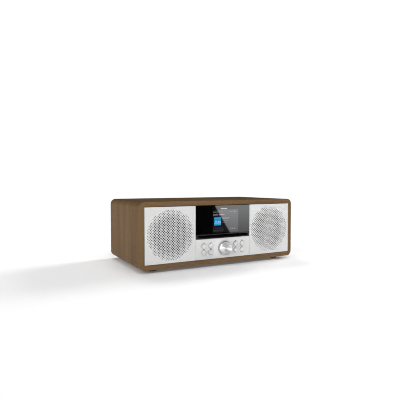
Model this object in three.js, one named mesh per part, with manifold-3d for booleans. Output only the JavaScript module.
// Stereo tabletop radio with a slot-in disc player, as an assembly of separate pieces.
// Units are millimetres. +Z is up and the front faces -Y. The origin is on the floor, under the
// middle of the whole radio's bounding box.

import * as THREE from 'three';
import { mergeVertices } from 'three/addons/utils/BufferGeometryUtils.js';
import Module from 'manifold-3d';

const wasm = await Module();
wasm.setup();

// ---- Driving dimensions ----------------------------------------------------------------------

const CABINET = { width: 380, height: 135, depth: 200, wall: 10, radius: 12, innerRadius: 1.2 };
const FOOT = { height: 6, radius: 10, fromSide: 35, fromFront: 26, fromBack: 28 };
const GAP = 0.4;                 // clear space left between neighbouring pieces
const REVEAL = 0.9;              // dark line between the front panels and the boards over and under them
const PANEL = { proud: 0.8, thickness: 3, window: 2.5, centreHalfWidth: 67.65 };
const BAFFLE = { thickness: 8 };
const SEAM_Z = { fascia: 59.9, window: 69.5 };   // joints under and over the slot bezel
const SLOT = { z: 64.6, halfWidth: 63, height: 5 };
const BUTTON = { radius: 4.95, flange: 6.2, proud: 1.3, rows: { lower: 31.7, upper: 45.1 } };
const BUTTON_COLUMNS = { left_outer: -48.3, left_inner: -31.5, right_inner: 31.5, right_outer: 48.3 };
const KNOB = { radius: 15, proud: 12, z: 38.4, shaft: 3, standoff: 1.4 };
const SPEAKER = { x: 123.5, flange: 46, cone: 33.2, coil: 13.2, depth: 50, hole: 41, sides: 20 };
const BOARD = { halfWidth: 60, thickness: 1.6, behindBaffle: 8.2, low: 19.5 };
const SWITCH = { halfWidth: 3, height: 2.4, plunger: 1.7, plungerTop: 3.1, stemEnd: 4.1 };
const ENCODER = { halfWidth: 7, halfHeight: 6.5, bush: 5.6, bore: 4.7, rotor: 4.3 };
const SHAFT_HOLE = { baffle: 6.2, fascia: 6 };
const LCD = { x: 5.5, z: 97.6, width: 77, height: 54, thickness: 6.5 };
const DRIVE = { halfWidth: 68, front: 14, back: 176, z0: 50.2, z1: 69.8, skin: 1.5 };
const SPINDLE = { fromFront: 100, motor: 12, motorTop: 59.4, shaft: 1, plate: 15, hub: 7.3, hubTop: 62.1 };
const PICKUP = { halfWidth: 17, halfDepth: 10.5, z0: 53.4, z1: 59.5, lens: 3, lensTop: 61.8, offset: 23 };
const RAIL = { radius: 1.5, bore: 1.9, x: 13, z: 56.8, fromSpindle: 11.4 };
const ROLLER = { radius: 4.4, halfLength: 58, journal: 1.5, journalEnd: 65.8, behindFront: 14, underSlot: 7 };
const VENT = { x: 62, halfWidth: 17, z: 78, height: 2.6, pitch: 6, rows: 6 };
const REAR = { proud: 8, coverInset: 1.5, coverThickness: 3 };
const SCREW = { radius: 1.4, length: 13, head: 3, headHeight: 1.6, x: 170, rows: [25.5, 121.5] };
const SCREW_BLOCK = { depth: 19, reach: 17.4, bite: 2, middleHalfWidth: 9, middleReach: 13 };
const JACK_Z = 41;
const JACKS = [
  { name: 'headphone_jack', x: -46, sleeve: 4 },
  { name: 'aux_jack', x: -26, sleeve: 4 },
  { name: 'power_inlet', x: 46, sleeve: 5 },
];
const AERIAL = { x: 88, z: 121.5, base: 7, boss: 3, disc: 6.5, ear: 3.5, pin: 1.15, fromTail: 3.5 };
const TUBE = { radii: [3.4, 2.5, 1.65, 0.8], starts: [5, 8.6, 12.2, 15.8], stowed: 165, step: 2, wall: 0.48 };
const EYE = { radius: 3.2, halfThickness: 2.2, bore: 1.5, tail: 5.6 };
const ROUND = { large: 24, medium: 14, small: 10 };   // sides of round pieces

// ---- Derived places --------------------------------------------------------------------------

const FRONT_Y = (KNOB.proud - CABINET.depth - REAR.proud) / 2;
const BACK_Y = FRONT_Y + CABINET.depth;
const BASE_Z = FOOT.height;
const TOP_Z = BASE_Z + CABINET.height;
const MID_Z = (BASE_Z + TOP_Z) / 2;
const HALF_OPENING = CABINET.width / 2 - CABINET.wall;
const OPENING_LOW = BASE_Z + CABINET.wall;
const OPENING_HIGH = TOP_Z - CABINET.wall;
const PANEL_LOW = OPENING_LOW + REVEAL;
const PANEL_HIGH = OPENING_HIGH - REVEAL;
const SKIN_Y = FRONT_Y - PANEL.proud;
const PANEL_BACK_Y = SKIN_Y + PANEL.thickness;
const BAFFLE_Y = PANEL_BACK_Y + GAP;
const BAFFLE_BACK_Y = BAFFLE_Y + BAFFLE.thickness;
const COVER_Y = BACK_Y - REAR.coverInset;
const COVER_INNER_Y = COVER_Y - REAR.coverThickness;
const BOARD_Y = BAFFLE_BACK_Y + BOARD.behindBaffle;     // front face of the control board
const BOARD_TOP = DRIVE.z0 - 2 * GAP;
const DRIVE_Y0 = FRONT_Y + DRIVE.front;
const DRIVE_Y1 = FRONT_Y + DRIVE.back;
const SPINDLE_Y = FRONT_Y + SPINDLE.fromFront;
const MAIN_BOARD_Z = 32;

// ---- Materials -------------------------------------------------------------------------------

const paint = (color, roughness, metalness = 0) =>
  new THREE.MeshStandardMaterial({ color, roughness, metalness });
const WALNUT = paint(0x76634d, 0.55);
const WHITE = paint(0xdcdcda, 0.45);
const BLACK_GLOSS = paint(0x050505, 0.08);
const BLACK = paint(0x141414, 0.5);
const BAFFLE_BLACK = paint(0x1c1c1c, 0.7);
const ALUMINIUM = paint(0xc8c8c8, 0.3, 1);
const STEEL = paint(0x9a9a98, 0.4, 1);
const CHROME = paint(0xd8d8d8, 0.12, 1);
const RUBBER = paint(0x101010, 0.85);
const BOARD_GREEN = paint(0x1d4a2c, 0.5);
const PAPER = paint(0x26241f, 0.9);
const FELT = paint(0x0c0c0c, 1);
const LCD_GLASS = paint(0x10161c, 0.1);

// ---- Solid helpers ---------------------------------------------------------------------------

// The manifold solid of a closed geometry.
function solid(geometry) {
  geometry.deleteAttribute('normal');
  geometry.deleteAttribute('uv');
  const merged = mergeVertices(geometry, 1e-4);
  return new wasm.Manifold(new wasm.Mesh({
    numProp: 3,
    vertProperties: new Float32Array(merged.attributes.position.array),
    triVerts: new Uint32Array(merged.index.array),
  }));
}

// The geometry of a manifold solid.
function geometryOf(manifold) {
  const mesh = manifold.getMesh();
  const geometry = new THREE.BufferGeometry();
  geometry.setAttribute('position', new THREE.BufferAttribute(mesh.vertProperties, 3));
  geometry.setIndex(new THREE.BufferAttribute(mesh.triVerts, 1));
  geometry.computeVertexNormals();
  return geometry;
}

const join = (...geometries) => geometryOf(geometries.map(solid).reduce((a, b) => a.add(b)));

function cut(geometry, tools) {
  return geometryOf(tools.map(solid).reduce((body, tool) => body.subtract(tool), solid(geometry)));
}

// A box between two corners.
function block([x0, x1], [y0, y1], [z0, z1]) {
  const geometry = new THREE.BoxGeometry(x1 - x0, y1 - y0, z1 - z0);
  return geometry.translate((x0 + x1) / 2, (y0 + y1) / 2, (z0 + z1) / 2);
}

// A body of revolution about a line along Y through (x, z). Each point is [radius, y].
function turned(profile, sides, x = 0, z = 0) {
  const points = profile.map(([radius, y]) => new THREE.Vector2(radius, y));
  return new THREE.LatheGeometry(points, sides).translate(x, 0, z);
}

// The profile of a plain cylinder from y0 to y1.
const rod = (radius, y0, y1) => [[0, y0], [radius, y0], [radius, y1], [0, y1]];

const cylinderY = (radius, y0, y1, x, z, sides) => turned(rod(radius, y0, y1), sides, x, z);

function cylinderZ(radius, z0, z1, x, y, sides) {
  return turned(rod(radius, z0, z1), sides).rotateX(Math.PI / 2).translate(x, y, 0);
}

function cylinderX(radius, x0, x1, y, z, sides) {
  return turned(rod(radius, x0, x1), sides).rotateZ(-Math.PI / 2).translate(0, y, z);
}

// A rectangle in X and Z with round corners, added to a shape or a hole.
function roundedRectangle(path, x0, x1, z0, z1, radius) {
  path.moveTo(x0 + radius, z0);
  path.lineTo(x1 - radius, z0);
  path.absarc(x1 - radius, z0 + radius, radius, -Math.PI / 2, 0);
  path.lineTo(x1, z1 - radius);
  path.absarc(x1 - radius, z1 - radius, radius, 0, Math.PI / 2);
  path.lineTo(x0 + radius, z1);
  path.absarc(x0 + radius, z1 - radius, radius, Math.PI / 2, Math.PI);
  path.lineTo(x0, z0 + radius);
  path.absarc(x0 + radius, z0 + radius, radius, Math.PI, 1.5 * Math.PI);
  return path;
}

// A shape drawn in X and Z, extruded along Y from y0 to y1.
function extrudedY(shape, y0, y1, curveSegments) {
  const geometry = new THREE.ExtrudeGeometry(shape, {
    depth: y1 - y0, bevelEnabled: false, curveSegments,
  });
  return geometry.rotateX(Math.PI / 2).translate(0, y1, 0);
}

// ---- Assembly --------------------------------------------------------------------------------

const radio = new THREE.Group();

function add(name, geometry, material, position = [0, 0, 0], parent = radio) {
  const mesh = new THREE.Mesh(geometry, material);
  mesh.name = name;
  mesh.position.set(...position);
  parent.add(mesh);
  return mesh;
}

// ---- Cabinet: a veneered sleeve open at the front and the back -------------------------------

// Each screw block is glued in a corner, or in the middle of a board, and let a little into the wood.
function cabinetSleeve() {
  const half = CABINET.width / 2;
  const outline = roundedRectangle(new THREE.Shape(), -half, half, BASE_Z, TOP_Z, CABINET.radius);
  outline.holes.push(roundedRectangle(
    new THREE.Path(), -HALF_OPENING, HALF_OPENING, OPENING_LOW, OPENING_HIGH, CABINET.innerRadius));
  const y1 = COVER_INNER_Y - GAP;
  const y0 = y1 - SCREW_BLOCK.depth;
  const { reach, bite, middleHalfWidth, middleReach } = SCREW_BLOCK;
  const blocks = [];
  for (const side of [-1, 1]) {
    const x = [side * (HALF_OPENING + bite), side * (HALF_OPENING - reach)].sort((a, b) => a - b);
    blocks.push(block(x, [y0, y1], [OPENING_LOW - bite, OPENING_LOW + reach]));
    blocks.push(block(x, [y0, y1], [OPENING_HIGH - reach, OPENING_HIGH + bite]));
  }
  const middle = [-middleHalfWidth, middleHalfWidth];
  blocks.push(block(middle, [y0, y1], [OPENING_LOW - bite, OPENING_LOW + middleReach]));
  blocks.push(block(middle, [y0, y1], [OPENING_HIGH - middleReach, OPENING_HIGH + bite]));
  const pilots = screwPlaces().map(([x, z]) =>
    cylinderY(SCREW.radius + 0.3, y0 + 3, y1 + 1, x, z, ROUND.small));
  return cut(join(extrudedY(outline, FRONT_Y, BACK_Y, 5), ...blocks), pilots);
}

function screwPlaces() {
  return [-SCREW.x, 0, SCREW.x].flatMap((x) => SCREW.rows.map((z) => [x, z]));
}

function foot() {
  const { radius, height } = FOOT;
  const profile = [
    [0, 0], [radius - 1.2, 0], [radius - 0.4, 0.8], [radius, height - 0.3], [0, height - 0.3],
  ];
  return turned(profile, ROUND.large).rotateX(Math.PI / 2);
}

function buildCabinet() {
  add('cabinet_sleeve', cabinetSleeve(), WALNUT);
  const x = CABINET.width / 2 - FOOT.fromSide;
  const ends = { front: FRONT_Y + FOOT.fromFront, rear: BACK_Y - FOOT.fromBack };
  for (const [end, y] of Object.entries(ends)) {
    add(`foot_${end}_left`, foot(), RUBBER, [-x, y, 0]);
    add(`foot_${end}_right`, foot(), RUBBER, [x, y, 0]);
  }
}

// ---- Front: baffle, grilles, fascia, slot bezel, window --------------------------------------

function buttonPlaces() {
  return Object.entries(BUTTON.rows).flatMap(([row, z]) =>
    Object.entries(BUTTON_COLUMNS).map(([column, x]) => ({ name: `button_${column}_${row}`, x, z })));
}

function frontBaffle() {
  const w = HALF_OPENING - GAP;
  const y = [BAFFLE_Y, BAFFLE_BACK_Y];
  const through = [BAFFLE_Y - 1, BAFFLE_BACK_Y + 1];
  const plate = block([-w, w], y, [OPENING_LOW + GAP, OPENING_HIGH - GAP]);
  const hole = (radius, x, z, sides) => cylinderY(radius, ...through, x, z, sides);
  return cut(plate, [
    hole(SPEAKER.hole, -SPEAKER.x, MID_Z, ROUND.large),
    hole(SPEAKER.hole, SPEAKER.x, MID_Z, ROUND.large),
    hole(SHAFT_HOLE.baffle, 0, KNOB.z, ROUND.small),
    ...buttonPlaces().map(({ x, z }) => hole(BUTTON.flange + 0.6, x, z, ROUND.small)),
    block([-SLOT.halfWidth - 1.6, SLOT.halfWidth + 1.6], through, [SLOT.z - 4, SLOT.z + 4]),
    block([LCD.x - LCD.width / 2 - GAP, LCD.x + LCD.width / 2 + GAP], through,
      [LCD.z - LCD.height / 2 - GAP, LCD.z + LCD.height / 2 + GAP]),
  ]);
}

function grille(side) {
  const x = [side * (PANEL.centreHalfWidth + GAP), side * (HALF_OPENING - GAP)];
  return block(x.sort((a, b) => a - b), [SKIN_Y, PANEL_BACK_Y], [PANEL_LOW, PANEL_HIGH]);
}

function controlFascia() {
  const w = PANEL.centreHalfWidth;
  const through = [SKIN_Y - 1, PANEL_BACK_Y + 1];
  const plate = block([-w, w], [SKIN_Y, PANEL_BACK_Y], [PANEL_LOW, SEAM_Z.fascia - GAP / 2]);
  return cut(plate, [
    cylinderY(SHAFT_HOLE.fascia, ...through, 0, KNOB.z, ROUND.medium),
    ...buttonPlaces().map(({ x, z }) =>
      cylinderY(BUTTON.radius + GAP, ...through, x, z, ROUND.medium)),
  ]);
}

function slotBezel() {
  const w = PANEL.centreHalfWidth;
  const half = SLOT.height / 2;
  const face = block([-w, w], [SKIN_Y, PANEL_BACK_Y],
    [SEAM_Z.fascia + GAP / 2, SEAM_Z.window - GAP / 2]);
  const spout = block([-SLOT.halfWidth - 1.2, SLOT.halfWidth + 1.2],
    [PANEL_BACK_Y - 1, BAFFLE_BACK_Y + 0.5], [SLOT.z - half - 1.1, SLOT.z + half + 1.1]);
  const slot = block([-SLOT.halfWidth, SLOT.halfWidth], [SKIN_Y - 1, BAFFLE_BACK_Y + 2],
    [SLOT.z - half, SLOT.z + half]);
  return cut(join(face, spout), [slot]);
}

// A felt lip round the inner end of the slot.
function slotFelt() {
  const y = [BAFFLE_BACK_Y + 0.5 + GAP, BAFFLE_BACK_Y + 2.1];
  const half = SLOT.height / 2;
  const pad = block([-SLOT.halfWidth - 2.5, SLOT.halfWidth + 2.5], y,
    [SLOT.z - half - 1.9, SLOT.z + half + 1.9]);
  return cut(pad, [block([-SLOT.halfWidth + 0.5, SLOT.halfWidth - 0.5], [y[0] - 1, y[1] + 1],
    [SLOT.z - half + 0.2, SLOT.z + half - 0.2])]);
}

function displayWindow() {
  const w = PANEL.centreHalfWidth;
  return block([-w, w], [SKIN_Y, SKIN_Y + PANEL.window], [SEAM_Z.window + GAP / 2, PANEL_HIGH]);
}

// The display: a framed panel with its driver board behind it.
function lcdModule() {
  const y0 = SKIN_Y + PANEL.window + GAP;
  const y1 = y0 + LCD.thickness;
  const x = [LCD.x - LCD.width / 2, LCD.x + LCD.width / 2];
  const z = [LCD.z - LCD.height / 2, LCD.z + LCD.height / 2];
  const board = block([x[0] - 5, x[1] + 5], [y1 + 2.4, y1 + 4], [z[0] + 1, z[1] + 2]);
  const post = block([x[0] + 8, x[1] - 8], [y1 - 1, y1 + 3], [z[0] + 8, z[1] - 8]);
  return join(block(x, [y0, y1], z), post, board);
}

function buildFront() {
  add('front_baffle', frontBaffle(), BAFFLE_BLACK);
  add('left_grille', grille(-1), WHITE);
  add('right_grille', grille(1), WHITE);
  add('control_fascia', controlFascia(), WHITE);
  add('slot_bezel', slotBezel(), BLACK);
  add('slot_felt', slotFelt(), FELT);
  add('display_window', displayWindow(), BLACK_GLOSS);
  add('lcd_module', lcdModule(), LCD_GLASS);
}

// ---- Controls: eight push buttons and a push-and-turn knob -----------------------------------

// A button cap with a flange behind the fascia and a stem that presses a switch. y is 0 at the
// fascia's face.
function button() {
  const { radius, flange, proud } = BUTTON;
  const shoulder = PANEL.thickness + GAP;
  const stemEnd = BOARD_Y - SWITCH.stemEnd - SKIN_Y;
  return turned([
    [0, -proud], [radius - 1.2, -proud + 0.1], [radius, -proud + 0.8], [radius, shoulder],
    [flange, shoulder], [flange, shoulder + 1.2], [2.2, shoulder + 1.2], [2.2, stemEnd], [0, stemEnd],
  ], ROUND.medium);
}

// The board behind the fascia, with a switch for each button.
function controlBoard() {
  const board = block([-BOARD.halfWidth, BOARD.halfWidth], [BOARD_Y, BOARD_Y + BOARD.thickness],
    [BOARD.low, BOARD_TOP]);
  const half = SWITCH.halfWidth;
  const switches = buttonPlaces().flatMap(({ x, z }) => [
    block([x - half, x + half], [BOARD_Y - SWITCH.height, BOARD_Y + 0.8], [z - half, z + half]),
    cylinderY(SWITCH.plunger, BOARD_Y - SWITCH.plungerTop, BOARD_Y - 1, x, z, ROUND.small),
  ]);
  return join(board, ...switches);
}

function encoderBody() {
  const [y0, y1] = [BAFFLE_BACK_Y + 0.9, BOARD_Y - GAP];
  const { halfWidth, halfHeight } = ENCODER;
  const can = block([-halfWidth, halfWidth], [y0, y1], [KNOB.z - halfHeight, KNOB.z + halfHeight]);
  const bush = cylinderY(ENCODER.bush, BAFFLE_Y + 3.5, y0 + 1, 0, KNOB.z, ROUND.medium);
  return cut(join(can, bush), [cylinderY(ENCODER.bore, BAFFLE_Y, y1 + 1, 0, KNOB.z, ROUND.medium)]);
}

function encoderRotor() {
  const [y0, y1] = [BAFFLE_Y + 1, BOARD_Y - 1];
  const inner = KNOB.shaft + 0.35;
  const outer = ENCODER.rotor;
  return turned([[inner, y0], [outer, y0], [outer, y1], [inner, y1], [inner, y0]], ROUND.medium);
}

function tuningKnob() {
  const front = FRONT_Y - KNOB.proud;
  const back = SKIN_Y - KNOB.standoff;
  const bore = KNOB.shaft + 0.35;
  return turned([
    [0, front], [KNOB.radius - 0.9, front], [KNOB.radius, front + 0.9], [KNOB.radius, back],
    [bore, back], [bore, front + 2.8], [0, front + 2.8],
  ], 32);
}

function buildControls() {
  for (const { name, x, z } of buttonPlaces()) {
    add(name, button(), WHITE, [x, SKIN_Y, z]);
  }
  add('control_board', controlBoard(), BOARD_GREEN);
  add('encoder_body', encoderBody(), STEEL);
  add('encoder_rotor', encoderRotor(), BLACK, [0, 0, KNOB.z]);
  add('encoder_shaft', turned(rod(KNOB.shaft, FRONT_Y - KNOB.proud + 3.2, BOARD_Y - 1.8), ROUND.medium),
    STEEL, [0, 0, KNOB.z]);
  add('tuning_knob', tuningKnob(), ALUMINIUM, [0, 0, KNOB.z]);
}

// ---- Loudspeakers: y is 0 at the flange's face and grows towards the magnet -------------------

function speakerFrame() {
  const f = SPEAKER.flange;
  return turned([
    [39, 0], [f, 0], [f, 2.5], [41, 2.5], [27, 30], [27, 34], [14.5, 34], [14.5, 32.4],
    [25.4, 32.4], [25.4, 29.6], [39, 1.9], [39, 0],
  ], SPEAKER.sides);
}

// The roll that carries the cone's rim.
function speakerSurround() {
  const outer = 38.6;
  const inner = SPEAKER.cone + GAP;
  const middle = (outer + inner) / 2;
  const roll = (outer - inner) / 2;
  const profile = [];
  for (let i = 0; i <= 6; i += 1) {
    const angle = Math.PI * (i / 6);
    profile.push([middle - roll * Math.cos(angle), -roll * Math.sin(angle)]);
  }
  for (let i = 6; i >= 0; i -= 1) {
    const angle = Math.PI * (i / 6);
    profile.push([middle - (roll - 0.6) * Math.cos(angle), 0.5 - (roll - 0.6) * Math.sin(angle)]);
  }
  return turned([...profile, profile[0]], SPEAKER.sides);
}

// The cone with its dust cap and voice coil tube.
function speakerCone() {
  const { cone, coil } = SPEAKER;
  return turned([
    [0, 10.5], [7, 12], [coil - 0.6, 16.4], [cone, 0.4], [cone, 1.3], [coil, 17.6], [coil, 38],
    [coil - 1, 38], [coil - 1, 17.6], [6.8, 13], [0, 11.5],
  ], SPEAKER.sides);
}

function speakerMagnet() {
  return turned([
    [0, 29], [11.6, 29], [11.6, 42], [14, 42], [14, 34.4], [31, 34.4], [31, SPEAKER.depth],
    [0, SPEAKER.depth],
  ], SPEAKER.sides);
}

function buildSpeakers() {
  for (const [name, side] of [['left', -1], ['right', 1]]) {
    const unit = new THREE.Group();
    unit.position.set(side * SPEAKER.x, BAFFLE_BACK_Y + 0.3, MID_Z);
    radio.add(unit);
    add(`${name}_speaker_frame`, speakerFrame(), STEEL, [0, 0, 0], unit);
    add(`${name}_speaker_surround`, speakerSurround(), RUBBER, [0, 0, 0], unit);
    add(`${name}_speaker_cone`, speakerCone(), PAPER, [0, 0, 0], unit);
    add(`${name}_speaker_magnet`, speakerMagnet(), STEEL, [0, 0, 0], unit);
  }
}

// ---- Slot-in disc drive ----------------------------------------------------------------------

function driveChassis() {
  const { halfWidth: w, z0, z1, skin } = DRIVE;
  const tray = cut(block([-w, w], [DRIVE_Y0, DRIVE_Y1], [z0, z1]),
    [block([-w + skin, w - skin], [DRIVE_Y0 - 1, DRIVE_Y1 - skin], [z0 + skin, z1 + 1])]);
  const legs = [];
  for (const x of [-w + 3, w - 3]) {
    for (const y of [DRIVE_Y0 + 24, DRIVE_Y1 - 30]) {
      legs.push(block([x - 3, x + 3], [y - 3, y + 3], [OPENING_LOW + 0.3, z0 + skin / 2]));
    }
  }
  return join(tray, ...legs);
}

// The drive's cover plate with the disc clamp's seat under it.
function driveLid() {
  const w = DRIVE.halfWidth;
  const z = DRIVE.z1 + 0.3;
  return join(block([-w, w], [DRIVE_Y0, DRIVE_Y1], [z, z + DRIVE.skin]),
    cylinderZ(16, SLOT.z + 3, z + 0.5, 0, SPINDLE_Y, ROUND.large));
}

function feedRoller() {
  const { radius, halfLength, journal, journalEnd } = ROLLER;
  const y = DRIVE_Y0 + ROLLER.behindFront;
  const z = SLOT.z - ROLLER.underSlot;
  return join(cylinderX(radius, -halfLength, halfLength, y, z, ROUND.small),
    cylinderX(journal, -journalEnd, journalEnd, y, z, ROUND.small));
}

function spindleMotor(floor) {
  return cut(cylinderZ(SPINDLE.motor, floor, SPINDLE.motorTop, 0, SPINDLE_Y, ROUND.large),
    [cylinderZ(SPINDLE.shaft + GAP, floor + 1.5, SPINDLE.motorTop + 1, 0, SPINDLE_Y, ROUND.small)]);
}

// The disc's turntable with its hub and the shaft that stands in the motor.
function turntable(floor) {
  const under = SPINDLE.motorTop + 0.6;
  return join(
    cylinderZ(SPINDLE.plate, under, under + 1.2, 0, SPINDLE_Y, ROUND.large),
    cylinderZ(SPINDLE.hub, under + 0.4, SPINDLE.hubTop, 0, SPINDLE_Y, ROUND.medium),
    cylinderZ(SPINDLE.shaft, floor + 2, under + 0.4, 0, SPINDLE_Y, ROUND.small));
}

// The sled with its lens, bored for the two rails.
function opticalPickup() {
  const { halfWidth, halfDepth, z0, z1, lens, lensTop } = PICKUP;
  const y = SPINDLE_Y + PICKUP.offset;
  const sled = join(block([-halfWidth, halfWidth], [y - halfDepth, y + halfDepth], [z0, z1]),
    cylinderZ(lens, z1 - 0.5, lensTop, 0, y, ROUND.medium));
  return cut(sled, [-RAIL.x, RAIL.x].map((x) =>
    cylinderY(RAIL.bore, y - halfDepth - 1.5, y + halfDepth + 1.5, x, RAIL.z, ROUND.small)));
}

function buildDrive() {
  const floor = DRIVE.z0 + DRIVE.skin + 0.3;
  add('drive_chassis', driveChassis(), STEEL);
  add('drive_lid', driveLid(), STEEL);
  add('feed_roller', feedRoller(), RUBBER);
  add('spindle_motor', spindleMotor(floor), STEEL);
  add('turntable', turntable(floor), BLACK);
  add('optical_pickup', opticalPickup(), BLACK);
  const railY = [SPINDLE_Y + RAIL.fromSpindle, DRIVE_Y1 - DRIVE.skin - 0.3];
  for (const [side, x] of [['left', -RAIL.x], ['right', RAIL.x]]) {
    add(`pickup_rail_${side}`, cylinderY(RAIL.radius, ...railY, x, RAIL.z, ROUND.small), STEEL);
  }
}

// ---- Main board, sockets ---------------------------------------------------------------------

function mainBoard() {
  const z = MAIN_BOARD_Z;
  const pieces = [block([-BOARD.halfWidth, BOARD.halfWidth], [-50, BACK_Y - 8], [z, z + BOARD.thickness])];
  for (const x of [-54, 54]) {
    for (const y of [-44, 66]) {
      pieces.push(cylinderZ(3, OPENING_LOW + 0.3, z + 0.8, x, y, ROUND.small));
    }
  }
  pieces.push(block([-52, -12], [-30, 4], [z + 1, z + 8]));       // screened tuner module
  pieces.push(block([-6, 10], [-40, -24], [z + 1, z + 3.2]));     // main processor
  for (const x of [-46, -30, -14, 2]) {
    pieces.push(cylinderZ(5, z + 1, z + 14, x, 24, ROUND.small));  // reservoir capacitors
  }
  return join(...pieces);
}

// A comb of fins along Y.
function heatsink() {
  const [x0, z0, fins, pitch] = [18, MAIN_BOARD_Z + 2, 7, 5];
  const width = (fins - 1) * pitch + 1.6;
  const pieces = [block([x0, x0 + width], [-30, 14], [z0, z0 + 3])];
  for (let i = 0; i < fins; i += 1) {
    pieces.push(block([x0 + i * pitch, x0 + i * pitch + 1.6], [-30, 14], [z0 + 1, z0 + 15]));
  }
  return join(...pieces);
}

// A round socket: a body on the board and a sleeve through the rear cover.
function socket(halfWidth, sleeve, bore, depth) {
  const body = block([-halfWidth, halfWidth], [COVER_INNER_Y - 14, COVER_INNER_Y - GAP],
    [JACK_Z - 7, JACK_Z + 6]);
  const nose = cylinderY(sleeve, COVER_INNER_Y - 2, COVER_Y - 0.3, 0, JACK_Z, ROUND.medium);
  return cut(join(body, nose), [cylinderY(bore, COVER_Y - depth, COVER_Y + 1, 0, JACK_Z, ROUND.medium)]);
}

function powerInlet() {
  const shell = socket(7, 5, 3.2, 12);
  return join(shell, cylinderY(1.05, COVER_Y - 14, COVER_Y - 2, 0, JACK_Z, ROUND.small));
}

function buildElectronics() {
  add('main_board', mainBoard(), BOARD_GREEN);
  add('heatsink', heatsink(), ALUMINIUM);
  for (const { name, x, sleeve } of JACKS) {
    const shape = name === 'power_inlet' ? powerInlet() : socket(5.5, sleeve, 1.85, 13);
    add(name, shape, BLACK, [x, 0, 0]);
  }
}

// ---- Rear cover and its screws ---------------------------------------------------------------

function rearCover() {
  const w = HALF_OPENING - GAP;
  const through = [COVER_INNER_Y - 1, COVER_Y + 1];
  const plate = block([-w, w], [COVER_INNER_Y, COVER_Y], [OPENING_LOW + GAP, OPENING_HIGH - GAP]);
  const tools = JACKS.map(({ x, sleeve }) =>
    cylinderY(sleeve + GAP, ...through, x, JACK_Z, ROUND.medium));
  for (const [x, z] of screwPlaces()) {
    tools.push(cylinderY(SCREW.radius + 0.3, ...through, x, z, ROUND.small));
    tools.push(cylinderY(SCREW.head + 0.6, COVER_Y - SCREW.headHeight, COVER_Y + 1, x, z, ROUND.small));
  }
  for (const x of [-VENT.x, VENT.x]) {
    for (let row = 0; row < VENT.rows; row += 1) {
      const z = VENT.z + row * VENT.pitch;
      tools.push(block([x - VENT.halfWidth, x + VENT.halfWidth], through, [z, z + VENT.height]));
    }
  }
  tools.push(cylinderY(3.4, ...through, AERIAL.x, AERIAL.z, ROUND.medium));
  return cut(plate, tools);
}

// A pan head screw. y is 0 under the head, and the head is towards +Y.
function coverScrew() {
  const { radius, length, head, headHeight } = SCREW;
  const body = turned([[0, -length], [radius, -length], [radius, 0], [head, 0],
    [head, 0.9], [head - 0.9, headHeight], [0, headHeight]], ROUND.small);
  const blade = 3.2;
  return cut(body, [block([-blade / 2, blade / 2], [0.6, 2], [-0.4, 0.4]),
    block([-0.4, 0.4], [0.6, 2], [-blade / 2, blade / 2])]);
}

function buildRear() {
  add('rear_cover', rearCover(), BLACK);
  const columns = ['left', 'middle', 'right'];
  screwPlaces().forEach(([x, z], i) => {
    const name = `screw_${i % 2 ? 'upper' : 'lower'}_${columns[Math.floor(i / 2)]}`;
    add(name, coverScrew(), STEEL, [x, COVER_Y - 1.3, z]);
  });
}

// ---- Telescopic aerial, stowed along the back towards -X -------------------------------------
// Its pieces are drawn about the pivot, where the swivel axis and the tilt axis cross.

function aerialSwivel(pivotY) {
  const { disc, ear, pin } = AERIAL;
  const plate = cylinderY(disc, BACK_Y + 0.1 - pivotY, BACK_Y + 0.6 - pivotY, 0, 0, ROUND.large);
  const ears = [-1, 1].flatMap((side) => {
    const z = [side * 2.6, side * 4].sort((a, b) => a - b);
    return [block([-ear, ear], [BACK_Y + 0.4 - pivotY, 0], z), cylinderZ(ear, ...z, 0, 0, ROUND.medium)];
  });
  return join(plate, ...ears, cylinderZ(pin, -3, 3, 0, 0, ROUND.small));
}

// One tube of the aerial, from start to end along -X from the pivot, open at its far end.
function aerialTube(radius, start, end) {
  const inner = radius - TUBE.wall;
  const profile = [[0, start], [radius, start], [radius, end], [inner, end], [inner, start + 3],
    [0, start + 3]];
  return turned(profile, ROUND.medium).rotateZ(Math.PI / 2);
}

// The flat eye by which the largest tube hangs between the swivel's ears.
function aerialEye() {
  const { radius, halfThickness: half, bore, tail } = EYE;
  return cut(join(block([-tail, 0], [-radius, radius], [-half, half]),
    cylinderZ(radius, -half, half, 0, 0, ROUND.medium)), [cylinderZ(bore, -3, 3, 0, 0, ROUND.small)]);
}

// The innermost section: a solid rod with a button on its end.
function aerialTip(radius, start, end) {
  return turned([[0, start], [radius, start], [radius, end], [2.6, end], [2.6, end + 5],
    [1.8, end + 6], [0, end + 6]], ROUND.medium).rotateZ(Math.PI / 2);
}

function buildAerial() {
  const pivotY = BACK_Y + REAR.proud - AERIAL.fromTail;
  const { x, z } = AERIAL;
  const base = join(
    cylinderY(AERIAL.base, COVER_Y + 0.3, BACK_Y - 0.3, x, z, ROUND.large),
    cylinderY(AERIAL.boss, COVER_INNER_Y - 3, COVER_Y + 1, x, z, ROUND.medium));
  add('aerial_base', base, BLACK);
  const aerial = new THREE.Group();
  aerial.position.set(x, pivotY, z);
  radio.add(aerial);
  add('aerial_swivel', aerialSwivel(pivotY), BLACK, [0, 0, 0], aerial);
  const last = TUBE.radii.length - 1;
  TUBE.radii.forEach((radius, index) => {
    const end = TUBE.stowed + TUBE.step * index;
    const section = (index === last ? aerialTip : aerialTube)(radius, TUBE.starts[index], end);
    const shape = index === 0 ? join(section, aerialEye()) : section;
    add(`aerial_section_${index + 1}`, shape, CHROME, [0, 0, 0], aerial);
  });
}

buildCabinet();
buildFront();
buildControls();
buildSpeakers();
buildDrive();
buildElectronics();
buildRear();
buildAerial();

export default radio;
